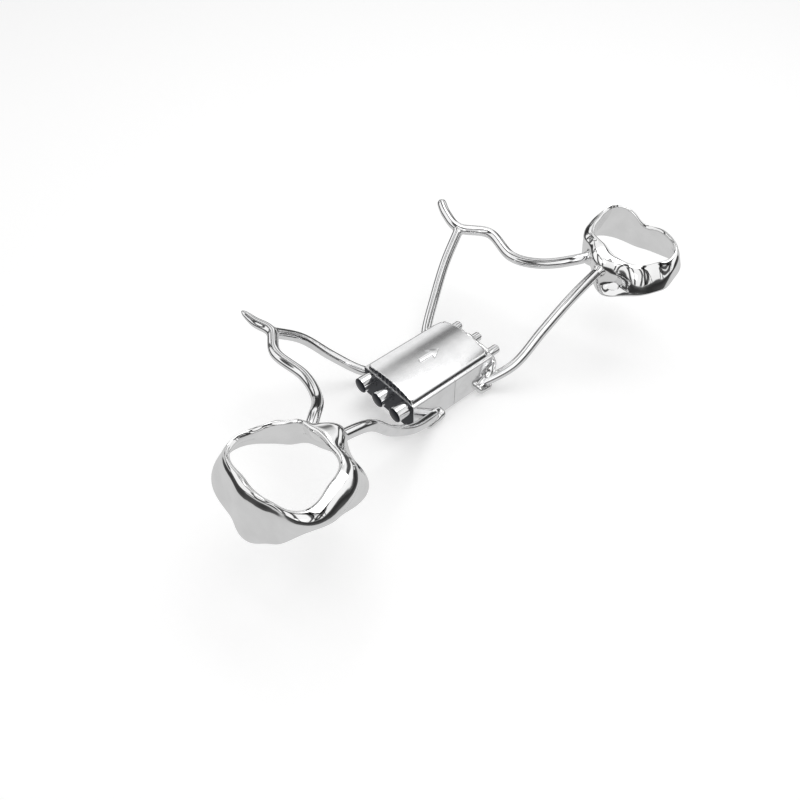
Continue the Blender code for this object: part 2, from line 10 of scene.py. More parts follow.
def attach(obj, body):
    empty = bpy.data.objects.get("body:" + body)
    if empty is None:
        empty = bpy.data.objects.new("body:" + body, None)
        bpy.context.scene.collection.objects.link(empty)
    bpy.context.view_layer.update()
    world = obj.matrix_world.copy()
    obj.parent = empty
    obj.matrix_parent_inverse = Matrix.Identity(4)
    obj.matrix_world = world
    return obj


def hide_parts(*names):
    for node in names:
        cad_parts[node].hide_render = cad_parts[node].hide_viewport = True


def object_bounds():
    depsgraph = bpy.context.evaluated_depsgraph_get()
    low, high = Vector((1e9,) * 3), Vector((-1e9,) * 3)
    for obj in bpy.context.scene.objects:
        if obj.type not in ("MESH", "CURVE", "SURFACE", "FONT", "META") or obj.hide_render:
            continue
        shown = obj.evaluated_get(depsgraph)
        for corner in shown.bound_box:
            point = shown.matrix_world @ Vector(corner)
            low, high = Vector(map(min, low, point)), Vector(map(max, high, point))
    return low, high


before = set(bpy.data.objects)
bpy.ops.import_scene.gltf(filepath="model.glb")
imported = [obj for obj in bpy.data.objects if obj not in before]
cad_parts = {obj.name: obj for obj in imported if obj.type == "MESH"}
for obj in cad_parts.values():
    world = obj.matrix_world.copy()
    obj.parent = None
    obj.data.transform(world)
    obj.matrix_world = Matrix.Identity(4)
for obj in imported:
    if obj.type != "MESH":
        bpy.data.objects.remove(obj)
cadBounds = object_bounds()
mm = 0.001
sideWords = {-1: "near", 1: "far"}
print("expander: frame loaded")


def addObject(name, data):
    item = bpy.data.objects.new(name, data)
    bpy.context.scene.collection.objects.link(item)
    return item


# a node with its settings, and what goes into each input: a socket or a number
def addNode(tree, kind, inputs, **settings):
    node = tree.nodes.new(kind)
    for key, value in settings.items():
        setattr(node, key, value)
    for key, value in inputs.items():
        if isinstance(value, bpy.types.NodeSocket):
            tree.links.new(value, node.inputs[key])
        else:
            node.inputs[key].default_value = value
    return node


def mathNode(tree, operation, *values):
    return addNode(tree, "ShaderNodeMath", dict(enumerate(values)), operation=operation).outputs[0]


def slopeNode(tree, value, low, high, fromValue, toValue):
    given = {"Value": value, "From Min": low, "From Max": high, "To Min": fromValue, "To Max": toValue}
    return addNode(tree, "ShaderNodeMapRange", given).outputs["Result"]


def mixNode(tree, share, first, second):
    given = {"Factor": share, "A": first, "B": second}
    return addNode(tree, "ShaderNodeMix", given, data_type="RGBA").outputs["Result"]


def newMaterial(name):
    material = bpy.data.materials.new(name)
    material.use_nodes = True
    tree = material.node_tree
    return material, tree, tree.nodes["Principled BSDF"].inputs


def grey(shade):
    return (shade, shade, shade, 1.0)


# the camera stands where the picture was taken from

view = {
    "place": (-42.0, -36.1, 49.35),  # mm
    "azimuth": -39.8,
    "elevation": 47.6,
    "roll": -1.28,
    "lens": 31.5,
    "sensor": 36.0,
    "nearest": 1.0,  # mm
}


def setCamera():
    turn, tip, roll = (math.radians(view[k]) for k in ("azimuth", "elevation", "roll"))
    back = Vector((math.sin(turn) * math.cos(tip), -math.cos(turn) * math.cos(tip), math.sin(tip)))
    right = Vector((math.cos(turn), math.sin(turn), 0.0))
    up = back.cross(right)
    across = right * math.cos(roll) + up * math.sin(roll)
    upward = up * math.cos(roll) - right * math.sin(roll)
    place = Matrix((across, upward, back)).transposed().to_4x4()
    place.translation = Vector(view["place"]) * mm
    data = bpy.data.cameras.new("pictureCamera")
    data.lens = view["lens"]
    data.sensor_width = view["sensor"]
    data.clip_start = view["nearest"] * mm
    camera = addObject("pictureCamera", data)
    camera.matrix_world = place
    bpy.context.scene.camera = camera


studio = {
    "floorRadius": 0.9,
    "floorSides": 64,
    "floorGap": 0.02,  # mm under the lowest point of the part
    "floorShade": 0.86,
    "floorRoughness": 0.8,
    "floorShine": 0.1,
    "floorLift": 0.3,  # brings the lit floor up to white in the picture
    "ambient": 0.62,
    "lampSize": (0.16, 0.12),
    "lampPlace": (0.05, 0.02, 0.2),
    "lampWatts": 0.12,
    "fillSize": (0.12, 0.1),
    "fillPlace": (-0.18, -0.1, 0.14),
    "fillWatts": 0.03,
    # what polished steel sees round it: (sine of the height above the horizon, shade)
    "surround": ((-0.4, 0.62), (-0.27, 0.58), (-0.21, 0.08), (0.0, 0.03), (0.1, 0.08), (0.17, 0.94),
                 (0.5, 1.0)),
    # a dim lane between two long panels overhead that lie along the screw
    "laneAcross": (0.0, 0.685, -0.728),
    "lane": ((-0.38, 1.0), (-0.22, 0.82), (-0.1, 0.52), (0.0, 0.22), (0.09, 0.16), (0.17, 0.55),
             (0.27, 0.97)),
    "laneFade": ((0.33, 0.5, 0.0, 1.0), (0.6, 0.68, 1.0, 0.0)),  # it shows over the screw only
    # dark seams between the other panels: (direction across the seam, offset, half width)
    "seams": (((0.8, -0.6, 0.0), 0.47, 0.06), ((0.8, -0.6, 0.0), -0.4, 0.055),
              ((0.5, 0.5, -0.7), -0.66, 0.06), ((0.9, -0.1, -0.45), -0.42, 0.05),
              ((1.0, 0.1, 0.0), 0.29, 0.012), ((1.0, -0.25, 0.0), 0.07, 0.014),
              ((1.0, 0.3, 0.0), -0.02, 0.014)),
    "seamShade": 0.08,
    "seamSoftness": 1.6,
    "overheadFrom": (0.1, 0.18),  # lane and seams fade in between these heights
}


def areaLamp(name, place, size, watts):
    data = bpy.data.lights.new(name, "AREA")
    data.shape = "RECTANGLE"
    data.size, data.size_y = size
    data.energy = watts
    lamp = addObject(name, data)
    lamp.location = place
    lamp.rotation_euler = (-Vector(place)).to_track_quat("-Z", "Y").to_euler()  # it faces the origin


def lightStudio():
    scene = bpy.context.scene
    scene.view_settings.view_transform = "Standard"
    world = bpy.data.worlds.new("studioWorld")
    scene.world = world
    world.use_nodes = True
    tree = world.node_tree
    tree.nodes.clear()
    where = addNode(tree, "ShaderNodeTexCoord", {}).outputs["Generated"]
    height = addNode(tree, "ShaderNodeSeparateXYZ", {0: where}).outputs["Z"]
    path = addNode(tree, "ShaderNodeLightPath", {}).outputs

    def turnedOver(value):
        return slopeNode(tree, value, 0.0, 1.0, 1.0, 0.0)

    def shadeAlong(value, stops):
        share = slopeNode(tree, value, -1.0, 1.0, 0.0, 1.0)
        ramp = addNode(tree, "ShaderNodeValToRGB", {"Fac": share})
        ramp.color_ramp.interpolation = "EASE"
        row = ramp.color_ramp.elements
        for k, (place, shade) in enumerate(stops):
            stop = row[k] if k < 2 else row.new((place + 1) / 2)
            stop.position = (place + 1) / 2
            stop.color = grey(shade)
        return ramp.outputs["Color"]

    def along(direction):
        given = {0: where, 1: Vector(direction).normalized()}
        return addNode(tree, "ShaderNodeVectorMath", given, operation="DOT_PRODUCT").outputs["Value"]

    depth = turnedOver(shadeAlong(along(studio["laneAcross"]), studio["lane"]))
    for fade in studio["laneFade"]:
        depth = mathNode(tree, "MULTIPLY", depth, slopeNode(tree, along((1, 0, 0)), *fade))
    overhead = turnedOver(depth)
    for across, offset, half in studio["seams"]:
        away = mathNode(tree, "ABSOLUTE", mathNode(tree, "SUBTRACT", along(across), offset))
        seam = slopeNode(tree, away, half, half * studio["seamSoftness"], studio["seamShade"], 1.0)
        overhead = mathNode(tree, "MULTIPLY", overhead, seam)
    raised = slopeNode(tree, height, *studio["overheadFrom"], 0.0, 1.0)
    overhead = mathNode(tree, "ADD", mathNode(tree, "MULTIPLY", overhead, raised), turnedOver(raised))
    shown = mathNode(tree, "MULTIPLY", overhead, shadeAlong(height, studio["surround"]))
    # soft even light on everything that isn't a mirror, and plain white behind it all
    plain = mixNode(tree, path["Is Glossy Ray"], grey(studio["ambient"]), shown)
    white = mixNode(tree, path["Is Camera Ray"], plain, grey(1.0))
    light = addNode(tree, "ShaderNodeBackground", {"Color": white}).outputs[0]
    addNode(tree, "ShaderNodeOutputWorld", {"Surface": light})
    areaLamp("skyPanel", studio["lampPlace"], studio["lampSize"], studio["lampWatts"])
    areaLamp("sidePanel", studio["fillPlace"], studio["fillSize"], studio["fillWatts"])


def layFloor():
    bm = bmesh.new()
    bmesh.ops.create_circle(bm, cap_ends=True, segments=studio["floorSides"], radius=studio["floorRadius"])
    mesh = bpy.data.meshes.new("paleFloor")
    bm.to_mesh(mesh)
    bm.free()
    floor = addObject("paleFloor", mesh)
    floor.location.z = cadBounds[0][2] - studio["floorGap"] * mm
    material, tree, shader = newMaterial("paleFloorPaint")
    shader["Base Color"].default_value = grey(studio["floorShade"])
    shader["Roughness"].default_value = studio["floorRoughness"]
    shader["Specular IOR Level"].default_value = studio["floorShine"]
    shader["Emission Color"].default_value = grey(1.0)
    path = addNode(tree, "ShaderNodeLightPath", {}).outputs
    lift = mathNode(tree, "MULTIPLY", path["Is Camera Ray"], studio["floorLift"])
    tree.links.new(lift, shader["Emission Strength"])
    floor.visible_glossy = False  # polished steel sees the plain lower half of the surround
    mesh.materials.append(material)


steelLook = {
    "slowDetail": 2.0,
    "fineScale": 9,  # times the ripple's scale
    "fineDetail": 6.0,
    "fineRoughness": 0.65,
    "toneBetween": (0.35, 0.7),
    "darker": 0.93,
    "hazeBetween": (0.3, 0.75),
    "rippleDepth": 0.1,  # mm
    # near-black colour painted on the ends of the screw parts, standing in for their dark reflections and
    # shade
    "paintedEndShade": (0.012, 0.014, 0.02),
}


def polishedSteel(name, colour, roughness, haze, ripple, rippleSize):
    look = steelLook
    material, tree, shader = newMaterial(name)
    where = addNode(tree, "ShaderNodeTexCoord", {}).outputs["Object"]
    # hand polishing leaves the surface slightly wavy
    slow = addNode(tree, "ShaderNodeTexNoise", {
        "Vector": where, "Scale": rippleSize, "Detail": look["slowDetail"]}).outputs["Fac"]
    # wear and fine buffing marks
    fine = addNode(tree, "ShaderNodeTexNoise", {
        "Vector": where, "Scale": rippleSize * look["fineScale"], "Detail": look["fineDetail"],
        "Roughness": look["fineRoughness"]}).outputs["Fac"]
    tone = addNode(tree, "ShaderNodeValToRGB", {"Fac": slow})
    for stop, place, share in zip(tone.color_ramp.elements, look["toneBetween"], (look["darker"], 1.0)):
        stop.position = place
        stop.color = (*[c * share for c in colour], 1)
    # painted shade: faces marked as ends get a near-black colour that stands in for the dark reflections and
    # shade on them
    ends = addNode(tree, "ShaderNodeAttribute", {}, attribute_name="paintedDarkEnd").outputs["Fac"]
    shade = mixNode(tree, ends, tone.outputs["Color"], (*look["paintedEndShade"], 1))
    spread = slopeNode(tree, fine, *look["hazeBetween"], roughness, roughness + haze)
    bump = addNode(tree, "ShaderNodeBump", {
        "Strength": ripple, "Distance": look["rippleDepth"] * mm, "Height": slow}).outputs["Normal"]
    shader["Metallic"].default_value = 1.0
    for key, socket in (("Base Color", shade), ("Roughness", spread), ("Normal", bump)):
        tree.links.new(socket, shader[key])
    return material


steels = {
    "band": {"name": "polishedBandSteel", "colour": (0.95, 0.95, 0.95), "roughness": 0.04, "haze": 0.05,
             "ripple": 0.6, "rippleSize": 420.0},
    "wire": {"name": "polishedWireSteel", "colour": (0.94, 0.94, 0.945), "roughness": 0.06, "haze": 0.06,
             "ripple": 0.12, "rippleSize": 700.0},
    "screw": {"name": "machinedScrewSteel", "colour": (0.93, 0.93, 0.935), "roughness": 0.11, "haze": 0.07,
              "ripple": 0.05, "rippleSize": 600.0},
    "solder": {"name": "solderSteel", "colour": (0.93, 0.93, 0.93), "roughness": 0.07, "haze": 0.1,
               "ripple": 0.5, "rippleSize": 900.0},
}
finishes = {key: polishedSteel(**steel) for key, steel in steels.items()}


def addPiece(name, mesh, finish, body, nodes=()):
    mesh.materials.clear()
    mesh.materials.append(finishes[finish])
    piece = addObject(name, mesh)
    if nodes:
        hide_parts(*nodes)
    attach(piece, body)
    return piece


def closeMesh(bm, name, sharpAngle=40.0):
    bmesh.ops.recalc_face_normals(bm, faces=bm.faces)
    mesh = bpy.data.meshes.new(name)
    bm.to_mesh(mesh)
    bm.free()
    mesh.shade_smooth()
    mesh.set_sharp_from_angle(angle=math.radians(sharpAngle))
    return mesh


# marks the faces that look along the screw, towards one of the ends, for painted shade: a dark colour that
# stands in for the dark reflections and shade on them; they lie more than beyond mm from the middle of the
# screw
def markPaintedDarkEnds(mesh, squareness, beyond=0.0, ends=(-1, 1)):
    flags = [1.0 if max(face.normal.x * end for end in ends) > squareness and abs(face.center.x) > beyond * mm
             else 0.0 for face in mesh.polygons]
    mesh.attributes.new("paintedDarkEnd", "FLOAT", "FACE").data.foreach_set("value", flags)


def joinRows(bm, low, high, around=True):
    for k in range(len(low) if around else len(low) - 1):
        n = (k + 1) % len(low)
        bm.faces.new((low[k], low[n], high[n], high[k]))


def skinRings(bm, rings, closed=False):
    rows = [[bm.verts.new(Vector(point) * mm) for point in ring] for ring in rings]
    pairs = list(zip(rows, rows[1:]))
    if closed:
        pairs.append((rows[-1], rows[0]))
    for low, high in pairs:
        joinRows(bm, low, high)
    if not closed:
        bm.faces.new(rows[0])
        bm.faces.new(rows[-1])


def bumpShape(angle, middle, halfWidth):
    away = abs((angle - middle + 180.0) % 360.0 - 180.0)
    return 0.5 + 0.5 * math.cos(math.pi * away / halfWidth) if away < halfWidth else 0.0


def splinePoint(a, b, c, d, t):
    return 0.5 * (2 * b + (c - a) * t + (2 * a - 5 * b + 4 * c - d) * t ** 2
                  + (3 * b - a - 3 * c + d) * t ** 3)


def treeOf(mesh):
    mesh.calc_loop_triangles()
    return BVHTree.FromPolygons([v.co for v in mesh.vertices],
                                [tuple(t.vertices) for t in mesh.loop_triangles])


# the mesh of an object with its modifiers worked in; the object and its helpers are removed
def bakeMesh(item, *helpers):
    bpy.context.view_layer.update()
    mesh = bpy.data.meshes.new_from_object(item.evaluated_get(bpy.context.evaluated_depsgraph_get()))
    for used in (item, *helpers):
        bpy.data.objects.remove(used, do_unlink=True)
    return mesh


def cutWith(mesh, cutterMesh):
    piece = addObject("cutWork", mesh)
    cutter = addObject("cutTool", cutterMesh)
    modifier = piece.modifiers.new("cut", "BOOLEAN")
    modifier.operation = "DIFFERENCE"
    modifier.solver = "EXACT"
    modifier.object = cutter
    return bakeMesh(piece, cutter)


def bevelEdges(bm, edges, width, segments):
    bmesh.ops.bevel(bm, geom=edges, offset=width * mm, segments=segments, affect="EDGES", profile=0.5)


# a node group with named inputs; closeTree makes its geometry real and gives it the finish
def openTree(name, inputs):
    tree = bpy.data.node_groups.new(name, "GeometryNodeTree")
    face = tree.interface
    face.new_socket("Geometry", in_out="INPUT", socket_type="NodeSocketGeometry")
    sockets = {label: face.new_socket(label, in_out="INPUT", socket_type="NodeSocket" + kind).identifier
               for label, kind in inputs.items()}
    face.new_socket("Geometry", in_out="OUTPUT", socket_type="NodeSocketGeometry")
    return tree, sockets, tree.nodes.new("NodeGroupInput").outputs


def closeTree(tree, start, geometry):
    real = addNode(tree, "GeometryNodeRealizeInstances", {"Geometry": geometry}).outputs[0]
    paint = addNode(tree, "GeometryNodeSetMaterial", {"Geometry": real, "Material": start["Finish"]})
    addNode(tree, "NodeGroupOutput", {"Geometry": paint.outputs[0]})


# runs a node group on an object and gives back the mesh that it makes
def runTree(item, tree, sockets, inputs, *helpers):
    modifier = item.modifiers.new("nodes", "NODES")
    modifier.node_group = tree
    for label, value in inputs.items():
        modifier[sockets[label]] = value
    return bakeMesh(item, *helpers)


bandSizes = {
    "spacing": 50.9,
    "stagger": 0.7,
    "openingWidth": 7.8,
    "openingLength": 9.2,
    "rimWidth": 0.85,
    "rimDrop": 0.5,
    "facet": 0.5,  # height of the steep face under the rolled rim
    "lean": 0.42,  # how far that face leans inwards for each mm of it
    "wall": 0.5,
    "height": 4.4,
    "flare": 1.7,
    "lipOut": 0.04,  # the lip stands this far proud
    "steps": 300,
    "smoothing": 5,
    "passes": {-1: 18, 1: 32},  # rounds of smoothing from section to section
    "sharpFrom": 80.0,
}

# how a section takes its form from the sizes and from the changes at its angle
sectionShares = {
    "leastFlare": 1.4,  # of the wall
    "gumEdge": (0.25, 0.6),  # of the wall: in from the gum line, up from the bottom
    "belly": (0.62, 0.62),  # of the way from lip to gum edge: out, down
    "bellyOut": 0.1,  # of the wall
    "lobeIn": 0.42,
    "waist": (0.14, 0.2),
    "padOut": 0.95,
    "swellOut": 0.75,
    "swellUp": {"turn": 0.25, "shoulder": 0.6, "crest": 0.45},
    "dropAt": {"turn": 0.35, "crest": 0.2, "inner": 0.15},
    "rollDown": 0.75,
    "mostLean": 0.45,  # of the rim's width
    "lowest": {"turn": 0.4, "lip": 0.6},  # of the height
    "crest": (0.42, 0.35),  # of the plain rim width, of the width here
    "shoulder": (0.35, 0.75),  # of the way from the turn to the crest: in, up
    "innerEdge": 0.08,
    "throat": (0.4, 0.45, 0.3),  # of the way out, of the height, of the rim's level
    "foot": (0.82, 0.2),  # of the height, of the wall
}

# angle 0 faces the cheek, 90 the front, 180 the tongue, 270 the back
bandShapes = {
    -1: {
        "opening": ((57, 42, 1.25), (291, 38, 0.9), (223, 32, 0.5), (139, 18, 0.4)),
        "rimWidth": ((256, 66, 1.1), (180, 30, 1.0), (8, 40, 0.3), (88, 14, 0.3), (113, 12, 0.35)),
        "rimLevel": ((300, 60, -0.1), (330, 16, -0.12), (226, 10, -0.08), (247, 12, -0.08), (268, 12, 0.03),
                     (10, 12, 0.08), (62, 14, -0.1), (84, 12, -0.1)),
        "pad": ((172, 34, 0.6), (228, 40, 0.2)),
        "swell": ((255, 50, 0.1), (172, 30, 0.3)),
        "roll": ((258, 52, 0.4), (345, 60, 0.1)),
        "lean": ((130, 180, 0.7), (316, 30, 0.14)),
        "facet": ((350, 34, 0.3), (316, 22, 0.1), (256, 40, 0.35)),
        "lobe": ((206, 34, 0.5),),
        "egg": (),
        "flare": ((62, 44, 1.25), (6, 40, 0.45), (205, 60, 0.95), (256, 40, -0.55), (290, 34, -0.75),
                  (115, 40, -0.9)),
        "height": ((16, 70, 1.9), (290, 34, -1.9), (262, 26, -0.4), (100, 50, -1.2), (350, 30, 0.5)),
    },
    1: {
        "opening": ((57, 42, 1.15), (282, 34, 0.65), (226, 32, 0.8), (135, 18, 0.2), (188, 26, 0.2)),
        "rimWidth": ((240, 50, 0.6), (176, 34, 1.0), (20, 60, -0.35), (92, 18, 0.3), (114, 20, 0.35),
                     (136, 24, 0.4)),
        "rimLevel": ((56, 40, 0.65), (8, 34, -0.8), (205, 44, -0.85), (238, 28, -0.45), (262, 38, -0.9),
                     (336, 34, -0.25)),
        "pad": ((176, 38, 0.4), (240, 42, 0.7)),
        "swell": ((244, 42, 0.4),),
        "roll": ((182, 30, 0.3), (300, 30, 0.2)),
        "lean": ((50, 180, 0.7),),
        "facet": ((186, 30, 0.2),),
        "lobe": ((200, 28, 1.0),),
        "egg": ((239, 44, 1.3),),
        "flare": ((202, 34, 0.95), (148, 30, -1.0), (275, 40, -0.4), (108, 46, -0.8)),
        "height": ((28, 60, 0.6), (290, 60, -1.5), (100, 50, -0.6), (192, 24, 0.55), (235, 40, -0.9),
                   (156, 22, -0.7), (262, 26, 0.3)),
    },
}

# the outside of the swelling behind the far band's rear arm: mm out from the opening, share of its height
eggOutline = ((2.2, 0.0), (2.36, 0.08), (2.28, 0.18), (1.92, 0.5), (1.5, 0.76), (1.0, 0.95), (0.62, 1.04))


def bandChange(side, what, angle):
    return sum(amount * bumpShape(angle, middle, half) for middle, half, amount in bandShapes[side][what])


def bandSection(side, angle):
    s, k = bandSizes, sectionShares
    a = math.radians(angle)
    wall, drop = s["wall"], s["rimDrop"]
    change = {what: bandChange(side, what, angle) for what in bandShapes[side]}
    swell, level = change["swell"], change["rimLevel"]
    edge = 1.0 / math.hypot(math.cos(a) / (s["openingWidth"] / 2), math.sin(a) / (s["openingLength"] / 2))
    edge += change["opening"]
    width = s["rimWidth"] + change["rimWidth"]
    gum = edge + max(s["flare"] + change["flare"], wall * k["leastFlare"])
    height = s["height"] + change["height"]
    lip = edge + width + change["pad"] * k["padOut"] + swell * k["swellOut"]
    facet = s["facet"] + change["facet"]
    lean = min(facet * (s["lean"] + change["lean"]), (lip - edge) * k["mostLean"])
    turn = level + swell * k["swellUp"]["turn"] - drop * k["dropAt"]["turn"] - change["roll"] * k["rollDown"]
    turn = max(turn, -height * k["lowest"]["turn"])
    under = max(turn - facet, -height * k["lowest"]["lip"])
    crest = edge + min(s["rimWidth"] * k["crest"][0], width * k["crest"][1])
    foot = wall * k["gumEdge"][1] - height
    outside = lip + s["lipOut"]
    shoulder = turn + (level + swell * k["swellUp"]["shoulder"] - turn) * k["shoulder"][1]
    outer = [
        (gum - wall * k["gumEdge"][0], -height),
        (gum, foot),
        (lip + (gum - lip) * (k["belly"][0] - change["lobe"] * k["lobeIn"]) + wall * k["bellyOut"],
         under + (foot - under) * k["belly"][1]),
        (lip + (gum - lip) * k["waist"][0] + s["lipOut"], under + (foot - under) * k["waist"][1]),
        (outside, under),
        (outside - lean, turn),
        (outside - lean - (lip - lean - crest) * k["shoulder"][0], shoulder),
    ]
    share = min(change["egg"], 1.0)
    share = share * share * (3 - 2 * share)
    rise = level + height
    outer = [(x + (edge + out - x) * share, z + (rise * part - height - z) * share)
             for (x, z), (out, part) in zip(outer, eggOutline)]
    inside = gum - wall + (edge + eggOutline[1][0] - gum) * share
    inner = [
        (crest, level + swell * k["swellUp"]["crest"] + drop * k["dropAt"]["crest"]),
        (edge + s["rimWidth"] * k["innerEdge"], level - drop * k["dropAt"]["inner"]),
        (edge, level - drop),
        (edge + (inside - edge) * k["throat"][0],
         -height * k["throat"][1] + min(level * k["throat"][2], 0.0)),
        (inside, -height * k["foot"][0]),
        (inside + wall * k["foot"][1], -height),
    ]
    return outer, inner


def bandPoint(side, angle, radius, z):
    a = math.radians(angle)
    outward = bandSizes["spacing"] / 2 + radius * math.cos(a)
    return Vector((side * outward, side * bandSizes["stagger"] / 2 + radius * math.sin(a), z))


def bandWallRadius(side, angle, z):
    outer = bandSection(side, angle)[0]
    for (lowR, lowZ), (highR, highZ) in zip(outer, outer[1:]):
        if lowZ <= z <= highZ:
            return lowR + (highR - lowR) * (z - lowZ) / (highZ - lowZ)
    return outer[-1][0]


def smoothLoop(points, cuts):
    points = [Vector(p) for p in points]
    count = len(points)
    done = []
    for i in range(count):
        a, b, c, d = (points[(i + k) % count] for k in (-1, 0, 1, 2))
        done += [splinePoint(a, b, c, d, k / cuts) for k in range(cuts)]
    return done


def bandRings(side, first=0, last=None):
    rings = []
    for k in range(bandSizes["steps"]):
        angle = 360.0 * k / bandSizes["steps"]
        outer, inner = bandSection(side, angle)
        section = smoothLoop(outer + inner, bandSizes["smoothing"])[first:last]
        rings.append([bandPoint(side, angle, p.x, p.y) for p in section])
    for _ in range(bandSizes["passes"][side]):
        rings = [[(a + b * 2 + c) / 4 for a, b, c in zip(rings[k - 1], rings[k], rings[(k + 1) % len(rings)])]
                 for k in range(len(rings))]
    return rings


def molarBand(side):
    word = sideWords[side]
    bm = bmesh.new()
    skinRings(bm, bandRings(side), closed=True)
    mesh = closeMesh(bm, word + "Band", bandSizes["sharpFrom"])
    addPiece(word + "_band_polished", mesh, "band", word + "_side", (word + "_molar_band",))


# the outside of a band as a full solid, which shapes the ends of its wires and the solder
def bandPlug(side):
    bm = bmesh.new()
    rings = bandRings(side, 1, bandSizes["smoothing"] * 6 + 1)  # the outer points of the sections
    skinRings(bm, list(zip(*rings)))
    return closeMesh(bm, "bandPlug", bandSizes["sharpFrom"])


wireSizes = {
    "radius": 0.64,
    "sides": 40,
    "domeTurns": (0.06, 0.25, 0.5, 0.75, 1.0, 1.25, 1.57),  # angles round the rounded tip
    "domeReach": 1.2,  # wire radii that the tip's own points take up
    "taper": 3.2,  # how far back the filed tip of the near bar reaches
    "tipShare": {-1: 0.42, 1: 0.95},
    "spacing": 0.3,
    "weld": 0.0005,
    "sharpFrom": 60.0,
    "barDepth": 2.1,
    "barAngle": 146.0,
    "rearDepth": 1.5,
    "rearAngle": {-1: 177.0, 1: 184.0},
    "rearFoot": {-1: 3.1, 1: 4.7},
    "frontFoot": 3.3,
    "footAbove": 0.75,
    "footSink": 0.6,  # how far an arm runs on into the screw's wall
}

# the lingual bars from their free ends: mm from the middle of the band, towards the tongue,
# forward and down; the front arm leaves at the third bend
barBends = {
    -1: ((9.45, 23.6, 3.0), (9.85, 21.6, 3.6), (10.45, 19.2, 3.9), (8.85, 15.9, 3.9),
         (9.35, 11.3, 4.2), (8.15, 7.2, 3.6), (5.75, 4.2, 2.1)),
    1: ((9.25, 23.9, 2.4), (10.25, 21.6, 3.1), (10.55, 18.8, 3.7), (8.55, 15.2, 3.6),
        (9.35, 10.5, 4.3), (8.25, 6.4, 3.7), (5.75, 2.9, 2.3)),
}
frontBow = {
    -1: ((0.29, (-0.3, 1.5, -0.1)), (0.56, (0.0, 1.4, -0.8)), (0.81, (0.3, 0.9, -0.9))),
    1: ((0.3, (0.1, 0.9, -0.3)), (0.57, (0.0, 1.1, -1.1)), (0.81, (0.0, 0.9, -0.9))),
}
rearBow = {
    -1: ((0.26, (-0.5, -0.1, 0.7)), (0.49, (0.1, -0.5, -0.3)), (0.74, (0.3, -0.7, -0.5))),
    1: ((0.27, (-0.4, -0.4, 0.4)), (0.52, (-0.2, -0.7, 0.0)), (0.78, (0.1, -1.1, -0.4))),
}


def wireTree():
    tree, sockets, start = openTree("roundWire", {
        "Wire Radius": "Float", "Sides": "Int", "Finish": "Material"})
    line = addNode(tree, "GeometryNodeMeshToCurve", {"Mesh": start["Geometry"]}).outputs["Curve"]
    share = addNode(tree, "GeometryNodeInputNamedAttribute", {"Name": "thickness"}, data_type="FLOAT")
    ring = addNode(tree, "GeometryNodeCurvePrimitiveCircle", {
        "Radius": start["Wire Radius"], "Resolution": start["Sides"]}).outputs["Curve"]
    sweep = addNode(tree, "GeometryNodeCurveToMesh", {
        "Curve": line, "Profile Curve": ring, "Scale": share.outputs["Attribute"], "Fill Caps": True})
    closeTree(tree, start, sweep.outputs["Mesh"])
    return tree, sockets


wireNodes, wireSockets = wireTree()


def lineMesh(name, points):
    mesh = bpy.data.meshes.new(name)
    mesh.from_pydata(points, [(k, k + 1) for k in range(len(points) - 1)], [])
    return mesh


def smoothRoute(route, spacing):
    ends = [route[0] * 2 - route[1]] + list(route) + [route[-1] * 2 - route[-2]]
    points = []
    for i in range(1, len(ends) - 2):
        a, b, c, d = ends[i - 1:i + 3]
        steps = max(2, math.ceil((c - b).length / spacing))
        points += [splinePoint(a, b, c, d, k / steps) for k in range(steps)]
    return points + [route[-1].copy()]


def sweepWire(name, route, roundedStart=False, tipShare=1.0):
    w = wireSizes
    radius = w["radius"]
    points = smoothRoute(route, w["spacing"])
    shares = [1.0] * len(points)
    if roundedStart:
        tip = points[0]
        direction = (points[1] - tip).normalized()
        dome = [(1.0 - math.cos(a), math.sin(a)) for a in w["domeTurns"]]
        rest = [p for p in points if (p - tip).length > radius * w["domeReach"]]
        points = [tip + direction * (radius * along) for along, _ in dome] + rest
        shares = [share for _, share in dome] + [1.0] * len(rest)
        away = [min(1.0, (p - tip).length / w["taper"]) for p in points]
        shares = [share * (tipShare + (1 - tipShare) * math.sin(far * math.pi / 2))
                  for share, far in zip(shares, away)]
    mesh = lineMesh(name, [p * mm for p in points])
    mesh.attributes.new("thickness", "FLOAT", "POINT").data.foreach_set("value", shares)
    done = runTree(addObject(name + "Line", mesh), wireNodes, wireSockets,
                   {"Wire Radius": radius * mm, "Sides": w["sides"], "Finish": finishes["wire"]})
    bm = bmesh.new()
    bm.from_mesh(done)
    bmesh.ops.remove_doubles(bm, verts=bm.verts, dist=w["weld"] * mm)
    return closeMesh(bm, name, w["sharpFrom"])


# where a wire starts inside the wall of its band
def wireRoot(side, angle, depth):
    inside = bandWallRadius(side, angle, -depth) - 2 * wireSizes["radius"]
    return bandPoint(side, angle, inside, -depth)


# where an arm meets a wall of the screw
def wireFoot(side, across, wall):
    return Vector((side * across, screwSizes[wall], screwSizes["base"] + wireSizes["footAbove"]))


def barRoute(side):
    centre = bandPoint(side, 0.0, 0.0, 0.0)
    route = [centre + Vector((-side * inward, forward, -down)) for inward, forward, down in barBends[side]]
    return route + [wireRoot(side, wireSizes["barAngle"], wireSizes["barDepth"])]


def armRoute(side, start, end, bow):
    route = [start]
    for share, offset in bow:
        route.append(start.lerp(end, share) + Vector((side * offset[0], offset[1], offset[2])))
    route.append(end)
    return route + [end + (end - route[-2]).normalized() * wireSizes["footSink"]]


def rearRoute(side):
    start = wireRoot(side, wireSizes["rearAngle"][side], wireSizes["rearDepth"])
    return armRoute(side, start, wireFoot(side, wireSizes["rearFoot"][side], "rearWall"), rearBow[side])


def frontRoute(side):
    end = wireFoot(side, wireSizes["frontFoot"], "frontWall")
    return armRoute(side, barRoute(side)[2], end, frontBow[side])


